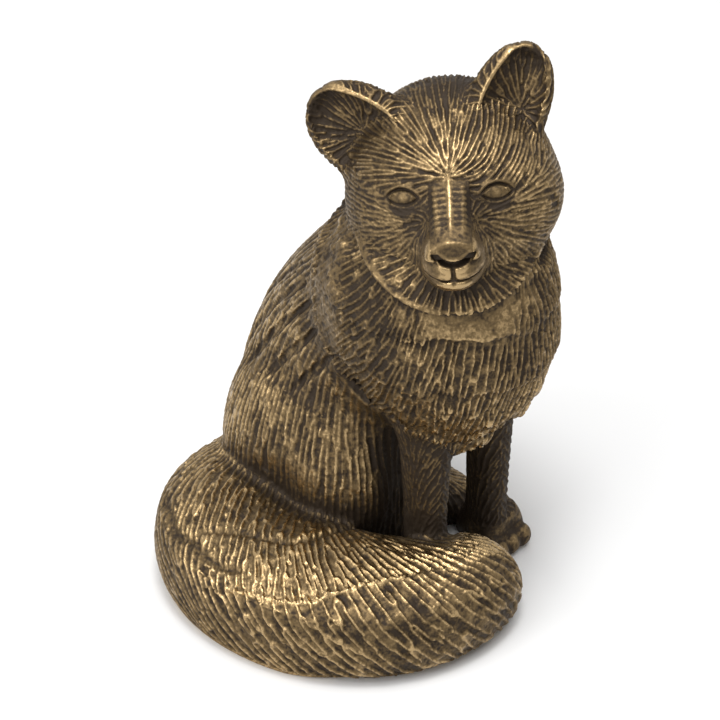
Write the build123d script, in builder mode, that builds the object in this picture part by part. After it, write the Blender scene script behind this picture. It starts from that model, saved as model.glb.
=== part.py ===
"""Seated brass fox figurine: separate castings that are pegged and brazed together.

Millimetres. The fox sits on the ground plane Z = 0 and its body faces -Y, so its right side is -X.
The origin lies on the ground, in the middle of the flat seat under the rump.
"""

import os

from build123d import *

# Joints between the castings: gap round a peg for the braze, and room past its end
BRAZE_GAP = 0.1
PEG_END_GAP = 0.5

# Trunk, from the seat up: height, setback, half width and half depth of each oval section
TRUNK_SECTIONS = {
    "seat": (0.0, 0.0, 13.5, 17.5),
    "rump": (12.0, 1.2, 14.8, 18.8),
    "loin": (26.0, -0.4, 14.6, 18.2),
    "back": (40.0, -7.9, 14.0, 21.0),
    "shoulder": (52.0, -13.5, 13.3, 18.9),
    "neck": (64.0, -19.5, 11.0, 14.0),
}
# Main furrows of the coat: degrees round from the spine at the loin, and the turn at each section further up
FURROW_ANGLES = (14.0, 31.0, 48.0, 65.0, 82.0)
FURROW_TURNS = {"loin": 0.0, "back": 9.0, "shoulder": 26.0}
FURROW_RADIUS = 0.9
FURROW_DEPTH = 0.6

# Head: its place and pose, then reach, rise, half width and half height of each oval section
HEAD_CENTRE = (0.5, -22.1, 71.8)
HEAD_TURN = 49.5
HEAD_TILT = 5.0
HEAD_SECTIONS = {
    "nape": (-17.0, 0.4, 4.4, 4.3),
    "poll": (-15.2, 0.3, 8.0, 7.7),
    "occiput": (-11.8, 0.2, 11.4, 11.0),
    "crown": (-4.0, -0.5, 15.6, 15.0),
    "cheeks": (3.0, -1.5, 15.5, 14.0),
    "stop": (9.5, -2.0, 11.0, 10.0),
    "muzzle": (14.0, -2.2, 6.2, 6.0),
    "lips": (17.8, -2.0, 5.0, 4.8),
    "front": (19.4, -2.0, 3.2, 3.2),
}
NECK_PEG_RADIUS = 5.5
NECK_PEG_LENGTH = 20.0
# Outward, up and forward places on the head
EYE_PLACE = (6.8, 4.0, 10.2)
EYE_RADIUS = 2.0
NOSE_PLACE = (0.0, 0.4, 18.2)
NOSE_HALF_WIDTH = 2.8
NOSE_RADIUS = 1.9

# Ears: outward, up and forward places of the base and the tip, and the base's half width
EAR_RIGHT = {"base": (11.0, 7.7, -2.0), "tip": (20.0, 13.9, -5.0), "half_width": 7.4}
EAR_LEFT = {"base": (8.6, 10.5, -2.0), "tip": (13.2, 20.6, -5.0), "half_width": 6.1}
# Share of the ear's length, share of its half width, half thickness
EAR_SECTIONS = ((-0.4, 0.92, 3.8), (0.0, 1.0, 3.8), (0.45, 0.92, 3.2), (0.8, 0.62, 2.3), (1.0, 0.2, 1.2))
EAR_RIM = 1.3
EAR_PEG_RADIUS = 1.6
EAR_PEG_START = 3.0
EAR_PEG_LENGTH = 8.0

# Mane, the ruff over chest, shoulders and neck: height, setback, half width and half depth
MANE_SECTIONS = {
    "hem": (28.5, -25.5, 5.5, 5.0),
    "breast": (33.5, -24.7, 10.3, 9.0),
    "chest": (42.0, -22.0, 15.3, 16.8),
    "shoulder": (53.0, -19.5, 17.0, 20.3),
    "collar": (63.0, -20.0, 16.0, 17.5),
    "throat": (69.0, -21.5, 9.0, 9.0),
}
# Tiers of the ruff that overhang the fur below: the same values, from each tier's lower edge up
MANE_TIERS = (
    ((45.5, -21.4, 16.7, 18.8), (50.0, -20.1, 17.2, 20.1), (56.0, -19.5, 16.8, 19.4)),
    ((55.0, -19.5, 17.6, 20.6), (59.0, -19.6, 17.0, 19.3), (65.0, -20.4, 13.8, 15.0)),
)
# Beard under the chin: the same values, and its edge, an oval seen along the face
BEARD_SECTIONS = (
    (54.0, -19.6, 17.8, 20.8),
    (60.0, -19.8, 17.6, 19.9),
    (64.0, -20.2, 16.0, 17.2),
    (69.0, -21.5, 9.8, 9.8),
)
BEARD_MIDDLE = (1.0, 0.0)
BEARD_HALF_WIDTH = 16.5
BEARD_HALF_HEIGHT = 11.8
# Line of the mane's lower edge, seen from the side: setback and height
HEM_BACK = (-5.5, 63.0)
HEM_SIDE = (-13.5, 39.5)
HEM_FRONT = (-35.5, 26.0)
MANE_CLEARANCE = 30.0
MANE_PEG = {"start": (0.0, -20.5, 48.0), "aim": (0.0, -8.5, 32.0), "radius": 6.0, "length": 18.0}

# Haunch: outward place, setback, height, half length and half height of each oval section of the thigh
THIGH_SECTIONS = (
    (5.0, -1.5, 16.0, 15.0, 17.0),
    (12.0, -2.0, 16.5, 16.0, 17.5),
    (16.0, -2.5, 15.5, 13.0, 14.0),
    (18.5, -3.0, 15.0, 6.5, 7.0),
)
# Hind foot, from the heel: setback, height, half width and half height of each oval section
HIND_FOOT_SPREAD = 12.5
HIND_FOOT_SECTIONS = (
    (-3.5, 2.2, 2.4, 2.4),
    (-6.5, 2.4, 4.2, 3.0),
    (-15.5, 2.2, 4.4, 2.8),
    (-19.0, 1.5, 2.6, 1.7),
)
# The left thigh lies further back: its shift, and share of the length
HAUNCH_RIGHT = {"shift": 0.0, "length_share": 1.0}
HAUNCH_LEFT = {"shift": 3.5, "length_share": 0.8}
HAUNCH_PEG = {"start": (17.0, -1.5, 15.0), "radius": 3.0, "length": 10.0}

# Foreleg: height, setback, half width and half depth of each oval section
LEG_SECTIONS = (
    (38.0, -23.5, 4.4, 5.2),
    (22.0, -24.5, 3.4, 3.9),
    (10.0, -24.5, 3.2, 3.6),
    (0.0, -24.5, 3.6, 4.2),
)
# Each foreleg's spread and its paw's; the right paw is drawn back under the tail, to a share of its reach
FORELEG_RIGHT = {"spread": 7.0, "paw_spread": 8.6, "paw_reach": 0.65}
FORELEG_LEFT = {"spread": 8.3, "paw_spread": 9.8, "paw_reach": 1.0}
LEG_PEG = {"start": (-24.5, 24.0), "radius": 2.0, "length": 18.0}
# Paw: reach in front of the heel, height, half width and half height of each oval section
PAW_HEEL = -22.5
PAW_SECTIONS = ((-3.0, 3.0, 3.0, 3.4), (0.5, 4.6, 4.6, 5.0), (3.4, 4.3, 4.9, 4.7), (5.6, 2.8, 4.0, 3.5))
TOE_RADIUS = 2.1
TOE_HEIGHT = 2.0
TOE_PITCH = 2.8

# Tail: plan place, half width and height of each section, from the root to the tip
TAIL_SECTIONS = (
    (-2.0, 11.5, 8.0, 14.0),
    (-15.0, 9.5, 9.8, 15.5),
    (-26.5, 0.0, 11.5, 16.8),
    (-28.0, -15.0, 11.7, 17.0),
    (-22.0, -27.0, 11.4, 16.5),
    (-11.0, -33.0, 9.8, 14.8),
    (-1.0, -33.5, 6.8, 12.0),
    (2.2, -33.2, 2.5, 6.0),
)
# Shares of a section's half width and height: its crest, its inner top edge, its outer bulge and its foot
TAIL_CREST_OUT = 0.9
TAIL_CREST_UP = 0.76
TAIL_INNER_UP = 0.85
TAIL_BULGE_UP = 0.4
TAIL_FOOT_OUT = 0.85
TAIL_PEG = {"start": (-15.0, 15.5, 7.0), "radius": 2.6, "length": 11.0}

# The head's own frame: X to the fox's left, Y up, Z out of the face
facing = Vector(0, -1, 0).rotate(Axis.Z, -HEAD_TURN)
left_side = Vector(1, 0, 0).rotate(Axis.Z, -HEAD_TURN).rotate(Axis((0, 0, 0), facing), HEAD_TILT)
head_plane = Plane(HEAD_CENTRE, x_dir=left_side, z_dir=facing)


def in_head(place, side=1):
    """A point given as outward, up and forward places on the head."""
    outward, up, forward = place
    return head_plane.from_local_coords(Vector(side * outward, up, forward))


def ear_frame(ear, side):
    """Middle of an ear's base, and the directions along it, across it and out of its cup."""
    base = in_head(ear["base"], side)
    axis = (in_head(ear["tip"], side) - base).normalized()
    across = axis.cross(facing).normalized()
    return base, axis, across, across.cross(axis)


# Where each peg starts, and which way it points
mane_peg_plane = Plane(MANE_PEG["start"], z_dir=Vector(MANE_PEG["aim"]) - Vector(MANE_PEG["start"]))
neck_peg_plane = Plane(HEAD_CENTRE, z_dir=(0, 0, -1))
tail_peg_plane = Plane(TAIL_PEG["start"], z_dir=(1, 0, 0))


def haunch_peg_plane(side):
    outward, setback, height = HAUNCH_PEG["start"]
    return Plane((side * outward, setback, height), z_dir=(-side, 0, 0))


def leg_peg_plane(leg, side):
    setback, height = LEG_PEG["start"]
    return Plane((side * leg["spread"], setback, height), z_dir=(0, 0, 1))


def ear_peg_plane(ear, side):
    base, axis, across, front = ear_frame(ear, side)
    wall_middle = EAR_SECTIONS[1][2] / 2
    return Plane(base + axis * EAR_PEG_START - front * wall_middle, z_dir=axis * -1)


def add_peg(plane, radius, length):
    """A round peg that rises from the plane's origin."""
    with Locations(plane):
        Cylinder(radius, length, align=(Align.CENTER, Align.CENTER, Align.MIN))


def cut_socket(plane, radius, length):
    """The socket of such a peg, with the braze gap round it."""
    with Locations(plane):
        Cylinder(
            radius + BRAZE_GAP,
            length + PEG_END_GAP,
            align=(Align.CENTER, Align.CENTER, Align.MIN),
            mode=Mode.SUBTRACT,
        )


# The space that the mane takes up, in front of and above its lower edge
with BuildPart() as mane_space:
    front_low = (HEM_FRONT[0] - MANE_CLEARANCE, HEM_FRONT[1] - MANE_CLEARANCE)
    front_high = (front_low[0], HEM_BACK[1] + MANE_CLEARANCE)
    back_high = (HEM_BACK[0], front_high[1])
    with BuildSketch(Plane.YZ):
        with BuildLine():
            ThreePointArc(HEM_BACK, HEM_SIDE, HEM_FRONT)
            Polyline(HEM_FRONT, front_low, front_high, back_high, HEM_BACK)
        make_face()
    extrude(amount=MANE_CLEARANCE, both=True)

with BuildPart() as trunk_form:
    for height, setback, half_width, half_depth in TRUNK_SECTIONS.values():
        with BuildSketch(Plane.XY.offset(height)):
            with Locations((0, setback)):
                Ellipse(half_width, half_depth)
    loft()
    add(mane_space.part, mode=Mode.SUBTRACT)

# Skull, cheeks and muzzle are one loft; eyes, nose pad and neck peg are cast on
with BuildPart() as head_form:
    for reach, rise, half_width, half_height in HEAD_SECTIONS.values():
        with BuildSketch(head_plane.offset(reach)):
            with Locations((0, rise)):
                Ellipse(half_width, half_height)
    loft()
    with Locations(in_head(EYE_PLACE, -1), in_head(EYE_PLACE, 1)):
        Sphere(EYE_RADIUS)
    with BuildSketch(Plane(in_head(NOSE_PLACE), x_dir=left_side, z_dir=facing)):
        Ellipse(NOSE_HALF_WIDTH, NOSE_RADIUS)
        Rectangle(2 * NOSE_HALF_WIDTH, NOSE_RADIUS, align=(Align.CENTER, Align.MAX), mode=Mode.SUBTRACT)
    revolve(axis=Axis(in_head(NOSE_PLACE), left_side))
    add_peg(neck_peg_plane, NECK_PEG_RADIUS, NECK_PEG_LENGTH)

# The beard follows the ruff and ends where the oval of the face does
with BuildPart() as beard:
    for height, setback, half_width, half_depth in BEARD_SECTIONS:
        with BuildSketch(Plane.XY.offset(height)):
            with Locations((0, setback)):
                Ellipse(half_width, half_depth)
    loft()
    with BuildSketch(head_plane):
        with Locations(BEARD_MIDDLE):
            Ellipse(BEARD_HALF_WIDTH, BEARD_HALF_HEIGHT)
    extrude(amount=MANE_CLEARANCE, mode=Mode.INTERSECT)

with BuildPart() as mane:
    for height, setback, half_width, half_depth in MANE_SECTIONS.values():
        with BuildSketch(Plane.XY.offset(height)):
            with Locations((0, setback)):
                Ellipse(half_width, half_depth)
    loft()
    for tier in MANE_TIERS:
        for height, setback, half_width, half_depth in tier:
            with BuildSketch(Plane.XY.offset(height)):
                with Locations((0, setback)):
                    Ellipse(half_width, half_depth)
        loft()
    add(beard.part)
    add(mane_space.part, mode=Mode.INTERSECT)
    add(head_form.part, mode=Mode.SUBTRACT)
    cut_socket(neck_peg_plane, NECK_PEG_RADIUS, NECK_PEG_LENGTH)
    for leg, side in ((FORELEG_RIGHT, -1), (FORELEG_LEFT, 1)):
        cut_socket(leg_peg_plane(leg, side), LEG_PEG["radius"], LEG_PEG["length"])
    add_peg(mane_peg_plane, MANE_PEG["radius"], MANE_PEG["length"])


def cast_haunch(thigh, side):
    """Thigh and hind foot of one side, seated on the trunk."""
    with BuildPart() as haunch:
        for outward, setback, height, half_length, half_height in THIGH_SECTIONS:
            middle = (side * outward, setback + thigh["shift"], height)
            with BuildSketch(Plane(middle, x_dir=(0, 1, 0), z_dir=(side, 0, 0))):
                Ellipse(half_length * thigh["length_share"], half_height)
        loft()
        for setback, height, half_width, half_height in HIND_FOOT_SECTIONS:
            middle = (side * HIND_FOOT_SPREAD, setback, height)
            with BuildSketch(Plane(middle, x_dir=(1, 0, 0), z_dir=(0, -1, 0))):
                Ellipse(half_width, half_height)
        loft()
        split(bisect_by=Plane.XY, keep=Keep.TOP)
        add(trunk_form.part, mode=Mode.SUBTRACT)
        add_peg(haunch_peg_plane(side), HAUNCH_PEG["radius"], HAUNCH_PEG["length"])
    return haunch


haunch_right = cast_haunch(HAUNCH_RIGHT, -1)
haunch_left = cast_haunch(HAUNCH_LEFT, 1)


def cast_foreleg(leg, side, haunch):
    """Foreleg and paw of one side, seated under the mane and against the trunk."""
    with BuildPart() as foreleg:
        for height, setback, half_width, half_depth in LEG_SECTIONS:
            with BuildSketch(Plane.XY.offset(height)):
                with Locations((side * leg["spread"], setback)):
                    Ellipse(half_width, half_depth)
        loft()
        for reach, height, half_width, half_height in PAW_SECTIONS:
            middle = (side * leg["paw_spread"], PAW_HEEL - reach * leg["paw_reach"], height)
            with BuildSketch(Plane(middle, x_dir=(1, 0, 0), z_dir=(0, -1, 0))):
                Ellipse(half_width, half_height)
        loft()
        toe_setback = PAW_HEEL - PAW_SECTIONS[-1][0] * leg["paw_reach"]
        for toe in (-1, 0, 1):
            with Locations((side * leg["paw_spread"] + toe * TOE_PITCH, toe_setback, TOE_HEIGHT)):
                Sphere(TOE_RADIUS)
        split(bisect_by=Plane.XY, keep=Keep.TOP)
        for neighbour in (trunk_form, mane, haunch):
            add(neighbour.part, mode=Mode.SUBTRACT)
        add_peg(leg_peg_plane(leg, side), LEG_PEG["radius"], LEG_PEG["length"])
    return foreleg


foreleg_right = cast_foreleg(FORELEG_RIGHT, -1, haunch_right)
foreleg_left = cast_foreleg(FORELEG_LEFT, 1, haunch_left)


def cast_ear(ear, side):
    """A cupped ear with a rim, seated on the head."""
    base, axis, across, front = ear_frame(ear, side)
    length = (in_head(ear["tip"], side) - base).length
    with BuildPart() as casting:
        for share, width_share, half_thickness in EAR_SECTIONS:
            middle = base + axis * (length * share)
            with BuildSketch(Plane(middle, x_dir=across, z_dir=axis)):
                Ellipse(ear["half_width"] * width_share, half_thickness)
        loft()
        for share, width_share, half_thickness in EAR_SECTIONS[:-1]:
            middle = base + axis * (length * share) + front * half_thickness
            with BuildSketch(Plane(middle, x_dir=across, z_dir=axis)):
                Ellipse(ear["half_width"] * width_share - EAR_RIM, half_thickness)
        loft(mode=Mode.SUBTRACT)
        add(head_form.part, mode=Mode.SUBTRACT)
        add_peg(ear_peg_plane(ear, side), EAR_PEG_RADIUS, EAR_PEG_LENGTH)
    return casting


ear_right = cast_ear(EAR_RIGHT, -1)
ear_left = cast_ear(EAR_LEFT, 1)

# The tail lies on the ground and wraps round the right haunch to the front paws
with BuildPart() as tail:
    for index, (outward_place, setback, half_width, height) in enumerate(TAIL_SECTIONS):
        before = TAIL_SECTIONS[max(index - 1, 0)]
        after = TAIL_SECTIONS[min(index + 1, len(TAIL_SECTIONS) - 1)]
        along = Vector(after[0] - before[0], after[1] - before[1], 0).normalized()
        outward = along.cross(Vector(0, 0, 1))
        crest = (TAIL_CREST_OUT * half_width, TAIL_CREST_UP * height)
        inner_edge = (-half_width, TAIL_INNER_UP * height)
        outer_foot = (TAIL_FOOT_OUT * half_width, 0)
        with BuildSketch(Plane((outward_place, setback, 0), x_dir=outward, z_dir=along * -1)):
            with BuildLine():
                ThreePointArc(inner_edge, (0, height), crest)
                ThreePointArc(crest, (half_width, TAIL_BULGE_UP * height), outer_foot)
                Polyline(outer_foot, (-half_width, 0), inner_edge)
            make_face()
    loft()
    for neighbour in (trunk_form, haunch_right, foreleg_right, foreleg_left):
        add(neighbour.part, mode=Mode.SUBTRACT)
    add_peg(tail_peg_plane, TAIL_PEG["radius"], TAIL_PEG["length"])


def furrow_point(section, angle, side):
    """A point just off the trunk's surface, a given angle round from the spine."""
    height, setback, half_width, half_depth = TRUNK_SECTIONS[section]
    lift = FURROW_RADIUS - FURROW_DEPTH
    round_to = Vector(0, 1, 0).rotate(Axis.Z, -side * angle)
    return Vector((half_width + lift) * round_to.X, setback + (half_depth + lift) * round_to.Y, height)


with BuildPart() as trunk:
    add(trunk_form.part)
    for side in (-1, 1):
        for angle in FURROW_ANGLES:
            with BuildLine() as furrow:
                Spline([furrow_point(section, angle + turn, side) for section, turn in FURROW_TURNS.items()])
            with BuildSketch(Plane(furrow.line @ 0, z_dir=furrow.line % 0)):
                Circle(FURROW_RADIUS)
            sweep(mode=Mode.SUBTRACT)
    cut_socket(mane_peg_plane, MANE_PEG["radius"], MANE_PEG["length"])
    cut_socket(tail_peg_plane, TAIL_PEG["radius"], TAIL_PEG["length"])
    for side in (-1, 1):
        cut_socket(haunch_peg_plane(side), HAUNCH_PEG["radius"], HAUNCH_PEG["length"])

with BuildPart() as head:
    add(head_form.part)
    for ear, side in ((EAR_RIGHT, -1), (EAR_LEFT, 1)):
        cut_socket(ear_peg_plane(ear, side), EAR_PEG_RADIUS, EAR_PEG_LENGTH)

pieces = {
    "trunk": trunk,
    "mane": mane,
    "head": head,
    "ear_right": ear_right,
    "ear_left": ear_left,
    "foreleg_right": foreleg_right,
    "foreleg_left": foreleg_left,
    "haunch_right": haunch_right,
    "haunch_left": haunch_left,
    "tail": tail,
}
os.makedirs("parts", exist_ok=True)
for name, piece in pieces.items():
    piece.part.label = name
    export_step(piece.part, f"parts/{name}.step")
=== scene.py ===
"""Looks of the seated brass fox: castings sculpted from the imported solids, chased with fur and antiqued.

The sculpting works in millimetres, and the finished meshes are in metres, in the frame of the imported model.
"""

import math

import bpy
import numpy as np
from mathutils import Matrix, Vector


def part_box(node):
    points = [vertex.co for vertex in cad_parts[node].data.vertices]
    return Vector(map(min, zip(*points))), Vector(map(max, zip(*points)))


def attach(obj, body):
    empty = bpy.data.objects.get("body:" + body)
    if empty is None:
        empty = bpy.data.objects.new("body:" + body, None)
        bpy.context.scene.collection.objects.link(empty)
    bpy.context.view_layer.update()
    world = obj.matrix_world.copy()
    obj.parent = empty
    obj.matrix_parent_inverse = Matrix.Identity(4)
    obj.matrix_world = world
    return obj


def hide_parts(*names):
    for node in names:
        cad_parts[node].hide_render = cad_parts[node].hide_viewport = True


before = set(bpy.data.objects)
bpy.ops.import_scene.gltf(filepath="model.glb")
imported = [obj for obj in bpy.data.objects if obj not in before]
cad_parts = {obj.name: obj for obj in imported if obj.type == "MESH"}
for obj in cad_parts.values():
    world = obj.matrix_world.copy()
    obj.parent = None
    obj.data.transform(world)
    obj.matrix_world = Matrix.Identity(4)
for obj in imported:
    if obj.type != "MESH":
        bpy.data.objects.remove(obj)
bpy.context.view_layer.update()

import openvdb as vdb
from mathutils import Vector, kdtree

MM = 0.001

# Sculpting grid
VOXEL = 0.3
PLAIN_VOXEL = 0.24
FINE_VOXEL = 0.19
FINE_PIECES = ("head", "ear_left", "ear_right", "mane")
BAND = 6.0
BOX_MARGIN = 2.4
RESHAPE_REACH = 3.0
SCULPT_REACH = 3.2
SEAM_OVERLAP = 0.3
SEAM_SINK = 0.1

# How softly each casting runs into those before it
BLENDS = {
    "trunk": 0.0,
    "haunch_left": 5.0,
    "haunch_right": 5.0,
    "mane": 4.0,
    "foreleg_left": 2.2,
    "foreleg_right": 2.2,
    "tail": 1.6,
    "head": 1.6,
    "ear_left": 1.6,
    "ear_right": 1.6,
}

# Camera: where it looks, from where, and its lens
LOOK_AT = (-13.5, -16.5, 45.0)
CAMERA_AZIMUTH = -48.0
CAMERA_ELEVATION = 35.0
CAMERA_DISTANCE = 400.0
CAMERA_LENS = 132.0
SENSOR_WIDTH = 36.0

# Lamps: place, size and power, in metres and watts, all turned to one spot
LAMP_AIM = (-0.01, -0.02, 0.04)
LAMPS = {
    "key": ((-0.12, -0.1, 0.68), 0.16, 1.3),
    "overhead": ((-0.08, -0.06, 0.65), 0.8, 3.4),
    "side": ((-0.6, 0.12, 0.32), 0.5, 2.2),
}
WORLD_LIGHT = 0.35
FLOOR_REACH = 3.0
FLOOR_WHITE = (0.9, 0.9, 0.9, 1.0)

# Colours of the brass, from rubbed ridges to dark hollows
RIDGE_BRASS = (0.40, 0.28, 0.14, 1.0)
WORN_BRASS = (0.15, 0.103, 0.051, 1.0)
PATINA = (0.030, 0.020, 0.012, 1.0)

# Fine noise of the brass: waves per metre and detail
CLOUD = (90.0, 3.0)
GRAIN = (3000.0, 2.0)
SPECKLE = (2200.0, 2.0)
CLOUD_TONE = 0.12
SPECKLE_TONE = 0.15

# Head pose: its own axes run to its left, up and the way it faces
HEAD_CENTRE = np.array([0.5, -22.1, 71.8])
HEAD_TURN = math.radians(49.5)
HEAD_TILT = math.radians(5.0)
HEAD_FACING = np.array([-math.sin(HEAD_TURN), -math.cos(HEAD_TURN), 0.0])
HEAD_SIDE = np.array([math.cos(HEAD_TURN), -math.sin(HEAD_TURN), 0.0])
HEAD_LEFT = HEAD_SIDE * math.cos(HEAD_TILT) + np.array([0.0, 0.0, math.sin(HEAD_TILT)])
HEAD_UP = np.cross(HEAD_LEFT, -HEAD_FACING)

# Eyes, in the head's own axes; an ellipsoid is its middle and its radii
EYE_PLACE = np.array([6.9, 4.6, 10.2])
EYE_ALONG = np.array([0.924, -0.127, -0.362])
EYE_OUTWARD = np.array([0.379, 0.438, 0.814])
EYE_RISE = np.cross(EYE_OUTWARD, EYE_ALONG)
EYE_BALL = ((6.8, 4.0, 10.2), (2.15, 2.15, 2.15))
EYE_HOLLOW = ((5.6, 3.2, 14.6), (2.2, 3.0, 3.2))
EYE_HALF_LENGTH = 2.6
UPPER_LID = 1.25
LOWER_LID = 1.05
LID_EDGE = 0.55
EYE_ROUND = (2.2, 1.15)
EYE_PLUG_RADIUS = 3.3
EYE_GROOVE_DEPTH = 0.26
LID_HEIGHT = 0.22
EYE_HEIGHT = 0.42

# Brow, bridge of the nose and cheeks, in the head's own axes
BROW_UP = 7.4
BROW_FORWARD = 10.0
BRIDGE_RUN = np.array([9.1, -5.3]) / math.hypot(9.1, 5.3)
BRIDGE_HALF_WIDTH = 2.7
BRIDGE_TAPER = 0.03
BRIDGE_CORNER = 0.9
BRIDGE_ENDS = (0.6, 9.4)
BRIDGE_CREST = 0.16
CHEEK_HOLLOW = ((9.0, -1.5, 17.2), (4.4, 6.0, 4.6))
TICK_PITCH = 0.95
TICK_DEPTH = 0.12
TICK_TONE = 0.5

# Places made fuller than the solids: middle, spread and height
SWELLINGS = (
    ((15.0, -1.0, 2.0), (3.5, 4.5, 5.0), 0.9),
    ((0.0, 13.0, -6.0), (8.0, 5.0, 6.0), 0.4),
)

# Muzzle, in the head's own axes
FACE_BACK = 2.0
FACE_LOW = -9.0
MUZZLE_BACK = 15.0
MUZZLE_FRONT = (13.0, 15.0)
MUZZLE_HALF_WIDTH = 4.4
MUZZLE_FLARE = 1.4
MUZZLE_LENGTH = 4.5
MUZZLE_REACH = 19.35
SNOUT_BACK = 14.5
SNOUT_HALF_WIDTH = 4.2
SNOUT_LENGTH = 4.4
SNOUT_UP = -3.5
SNOUT_HALF_HEIGHT = 2.7
NOSE_MIDDLE = (0.2, 0.4)
NOSE_SIZE = (2.85, 1.6)
NOSE_ENDS = (16.0, 19.3)
NOSTRIL_MIDDLE = (0.2, 1.35)
NOSTRIL_RADIUS = 2.95
NOSTRIL_DEPTH = 0.65
LIP_LOBE = ((2.3, -3.0), (2.4, 1.5))
LIP_HEIGHT = 0.3
CHIN_LOBE = ((0.0, -5.2), (2.9, 0.9))
CHIN_HEIGHT = 0.2
MOUTH_UP = -4.4
MOUTH_CURVE = 0.03
MOUTH_DEPTH = 0.35
CHIN = np.array([0.0, -3.0, 12.0])

# Ears and beard, in the head's own axes; a cup's place and size run along, across and out of its ear
EAR_BASES = {"ear_right": np.array([-11.0, 7.7, -2.0]), "ear_left": np.array([8.6, 10.5, -2.0])}
EAR_TIPS = {"ear_right": np.array([-20.0, 13.9, -5.0]), "ear_left": np.array([13.2, 20.6, -5.0])}
EAR_CUPS = {"ear_right": np.array([-12.2, 8.6, -2.2]), "ear_left": np.array([10.9, 10.8, -2.2])}
EAR_CUP_PLACE = (8.0, 0.0, 2.0)
EAR_CUP_SIZES = {"ear_right": (2.7, 3.5, 1.9), "ear_left": (2.7, 2.7, 1.9)}
BEARD_MIDDLE = (1.0, 0.0)
BEARD_SIZE = (16.5, 11.8)

# Plan route of the tail's middle, root to tip
TAIL_ROUTE = np.array([
    (-2.0, 11.5), (-15.0, 9.5), (-26.5, 0.0), (-28.0, -15.0),
    (-22.0, -27.0), (-11.0, -33.0), (-1.0, -33.5), (2.2, -33.2),
])
# Lines over the tail: run along its route, and place outward of it
TAIL_CREASE = ((24.5, 10.5), (29.0, 8.6), (34.0, 9.6), (38.0, 9.2), (40.5, 8.2))
TAIL_RIDGE = (
    (41.0, 10.2), (43.5, 10.0), (46.0, 9.8), (49.0, 9.4),
    (51.0, 8.2), (54.0, 6.6), (57.0, 3.6), (60.0, 3.2),
)
TAIL_TUFT = (
    (30.0, 6.5), (33.0, 4.6), (36.0, 3.0), (39.0, 1.8),
    (42.0, 0.0), (45.5, -2.3), (48.5, -6.0), (51.0, -10.0),
)
TAIL_END = (44.0, 56.0)
SKULL_BACK = (-12.5, -15.5)
EAR_END = (4.5, 2.0)
FORELEG_SPREAD = 7.6

# The way the fur lies: how far it leans, and between which places it turns
BODY_LEAN = 0.95
BODY_LEAN_HEIGHTS = (30.0, 54.0)
MANE_LEAN = 0.25
MANE_LEAN_GROWTH = 0.75
MANE_LEAN_BACK = (-30.0, -14.0)
CHEEK_OUT = 3.0
CHEEK_FUR = (0.0, 2.0, 13.0)
FOREHEAD_EDGE = (3.5, 6.0)
FOREHEAD_UPRIGHT = 0.5
FOREHEAD_UPRIGHT_LEFT = (1.0, 6.0)
NAPE_BACK = (-4.0, -12.0)
NAPE_FALL = np.array([0.0, 0.0, -1.5])
LEG_LEAN = 0.8
TAIL_SLANT = 12.0
TAIL_SLANT_GROWTH = 34.0
TAIL_SLANT_RUN = (22.0, 38.0)
TAIL_TOP_SLANT = 12.0
TAIL_TOP_EDGE = (0.35, 0.65)

# Where kinds of stroke meet
FOREHEAD_LOW = 5.0
FOREHEAD_TOP = 13.6
HEAD_BACK = -2.0
PAW_TOP = 7.0
STREAKS_END = 36.0
STREAKS_OUT = 8.5

# Layers of roughness: height, length of its waves and seed
TIER_EDGES = ((2.4, 3.2, 11), (1.2, 1.5, 12))
RIDGE_WAVER = ((1.6, 2.6, 21), (0.8, 1.1, 22))
BAND_EDGES = ((1.0, 2.2, 31),)
KIND_EDGES = ((1.0, 2.0, 41),)
CAST_SKIN = ((0.6, 0.55, 1), (0.4, 1.1, 2))
PIT_LENGTH, PIT_SEED = 0.5, 3

# Strokes: how they are seeded, how they vary, where they end, and how they are told apart
STEP = 0.45
TRIES = 30000
BATCH = 400
GAP_SHARE = 0.78
LENGTH_SHARE = 0.55
REACH_SHARES = (0.38, 0.6)
STRENGTHS = (0.7, 1.15)
SWAY = 0.1
THINNING = 3
LOST = 1.2
NEAR = 10
SAME_LINE = 0.42

draws = np.random.default_rng(7)


def unit(vectors):
    return vectors / np.maximum(np.linalg.norm(vectors, axis=-1, keepdims=True), 1e-9)


def smoothstep(low, high, value):
    """0 up to one value, 1 from the other on, and a soft step between."""
    t = np.clip((value - low) / (high - low), 0.0, 1.0)
    return t * t * (3.0 - 2.0 * t)


def bump(value, width):
    """1 where a value is 0, falling to 0 on either side."""
    return np.exp(-((value / width) ** 2))


def smooth_min(a, b, radius):
    """The lesser of two distances, with a rounded join."""
    if radius <= 0.0:
        return np.minimum(a, b)
    share = np.clip(0.5 + 0.5 * (b - a) / radius, 0.0, 1.0)
    return b * (1.0 - share) + a * share - radius * share * (1.0 - share)


def smooth_max(a, b, radius):
    """The greater of two distances, with a rounded join."""
    return -smooth_min(-a, -b, radius)


def ellipsoid(x, y, z, centre, radii):
    """Rough distance to an ellipsoid."""
    places = zip((x, y, z), centre, radii)
    reach = np.sqrt(sum(((place - middle) / radius) ** 2 for place, middle, radius in places))
    return (reach - 1.0) * min(radii)


def dome(across, up, middle, size):
    """Height of a round lobe: 1 in its middle, 0 from its edge on."""
    share = 1.0 - ((across - middle[0]) / size[0]) ** 2 - ((up - middle[1]) / size[1]) ** 2
    return np.sqrt(np.clip(share, 0.0, 1.0))


def head_axes(points):
    """Places in the head's own axes: to its left, up and forward."""
    offsets = points - HEAD_CENTRE
    return offsets @ HEAD_LEFT, offsets @ HEAD_UP, offsets @ HEAD_FACING


def from_head(vector):
    """A vector given in the head's own axes."""
    return vector[0] * HEAD_LEFT + vector[1] * HEAD_UP + vector[2] * HEAD_FACING


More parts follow.
